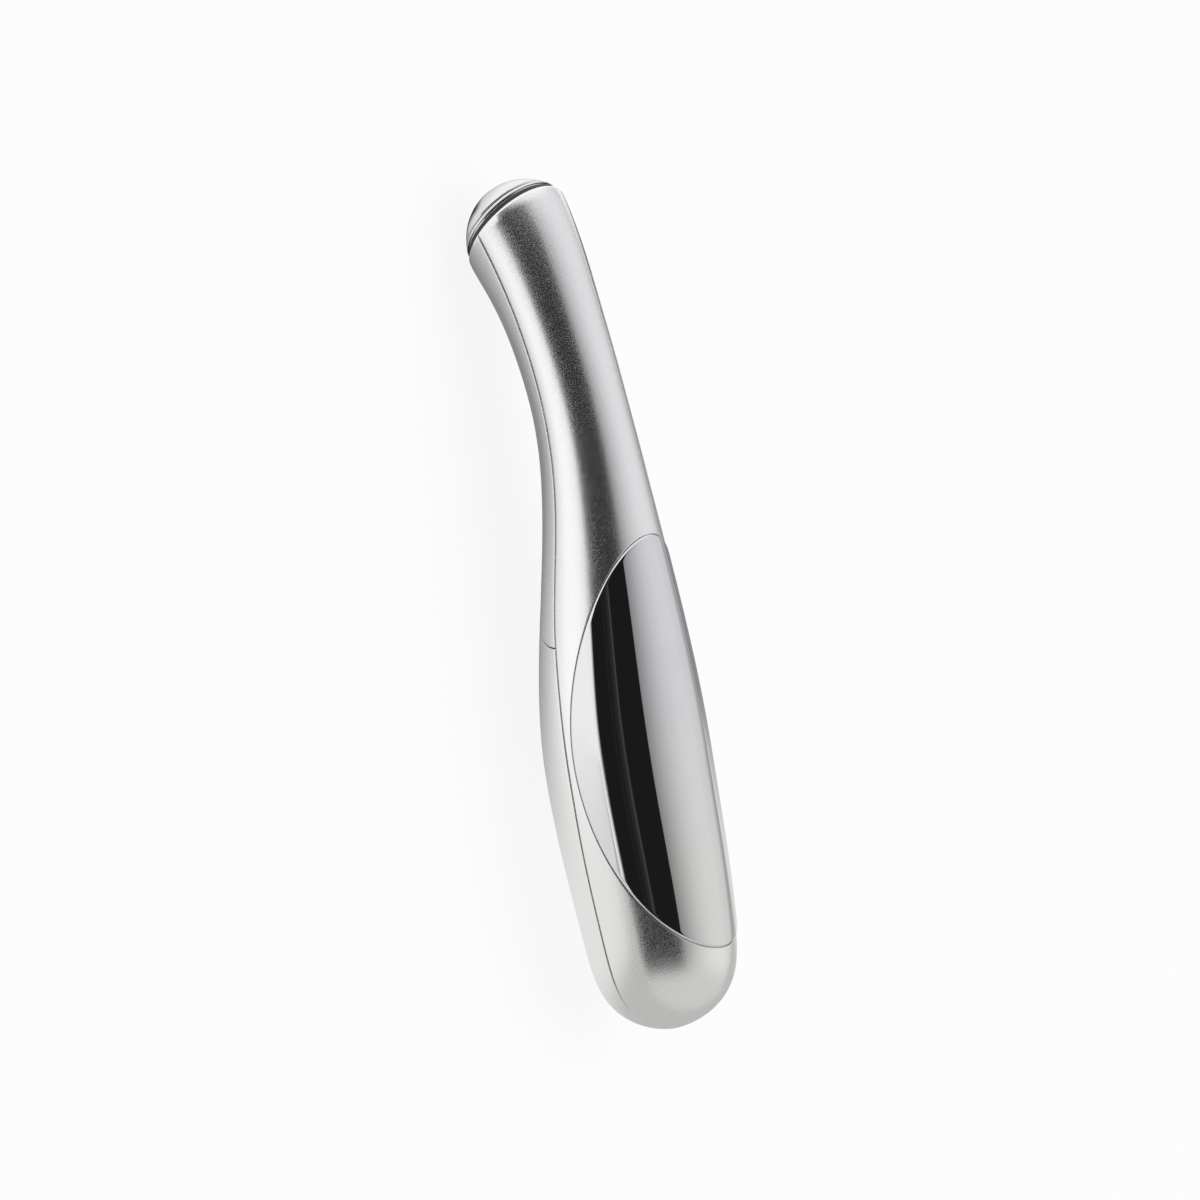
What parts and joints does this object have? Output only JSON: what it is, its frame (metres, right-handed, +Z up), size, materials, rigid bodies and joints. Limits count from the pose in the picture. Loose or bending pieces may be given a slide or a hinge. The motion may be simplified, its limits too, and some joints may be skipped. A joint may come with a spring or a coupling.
{
  "type": "microcurrent facial wand",
  "caption": "Hand-held beauty wand with a bent neck, a polished dome head, a bright oval hand plate on its back, a sliding battery cover and a push button.",
  "frame": {"origin": "bottom centre of the bounding box, on the surface that the wand lies on", "axes": "+X along the handle from its butt to the head, +Z up out of the back with the hand plate, Y across the handle; it lies on its front, on the battery cover and the dome"},
  "size_m": [0.1382, 0.0272, 0.0271],
  "materials": {
    "shell": "satin silver metallic paint with fine flake over moulded plastic",
    "plate": "mirror chrome plating over moulded plastic",
    "dome": "polished mirror",
    "gasket": "smooth black rubber",
    "ring": "polished",
    "dark_plastic": "fine moulded grain",
    "brass": "turned, bright",
    "button": "satin silver paint, slightly finer than the shells",
    "chip": "moulded epoxy",
    "board": "green solder mask",
    "ferrite": "wound coil in dark ferrite",
    "ceramic": "sintered ceramic",
    "steel": "plated",
    "rubber": "soft moulded rubber",
    "grey_plastic": "moulded, light grain",
    "battery": "plain printed sleeve over a plated can",
    "spring_steel": "nickel-plated wire and sheet",
    "foam": "closed-cell foam",
    "wire_red": "insulated lead",
    "wire_black": "insulated lead",
    "wire_blue": "insulated lead"
  },
  "bodies": {
    "housing": {"rear_shell": "shell", "neck_cover": "shell", "touch_plate": "plate", "head_dome": "dome", "dome_gasket": "gasket", "trim_ring": "ring", "head_insulator": "dark_plastic", "electrode_stud": "brass", "stud_nut": "brass", "wire_lug": "brass", "tact_switch": "chip", "circuit_board": "board", "boost_coil": "ferrite", "control_chip": "chip", "small_capacitors": "ceramic", "vibration_motor": "steel", "motor_holder": "rubber", "battery_tray": "grey_plastic", "battery": "battery", "contact_spring": "spring_steel", "spring_plate": "spring_steel", "battery_contact": "spring_steel", "case_screws": "steel", "battery_wires": "wire_red", "motor_wires": "wire_black", "head_wire": "wire_red", "plate_wire": "wire_blue"},
    "cover": {"battery_cover": "shell", "cover_pad": "foam"},
    "button": {"power_button": "button", "switch_plunger": "dark_plastic"},
    "rotor": {"motor_shaft": "steel", "eccentric_weight": "steel"}
  },
  "joints": [
    {"name": "cover_slide", "type": "slide", "parent": "housing", "child": "cover", "axis": [-1, 0, 0], "range_m": [0, 0.006]},
    {"name": "button_press", "type": "slide", "parent": "housing", "child": "button", "axis": [0, 0, 1], "range_m": [0, 0.00035], "stiffness_N_per_m": 4000, "springref_m": -0.0001},
    {"name": "rotor_spin", "type": "hinge", "parent": "housing", "child": "rotor", "pos_m": [0.04168, 0, 0.01345], "axis": [0.9806, 0, -0.1962], "continuous": true}
  ]
}
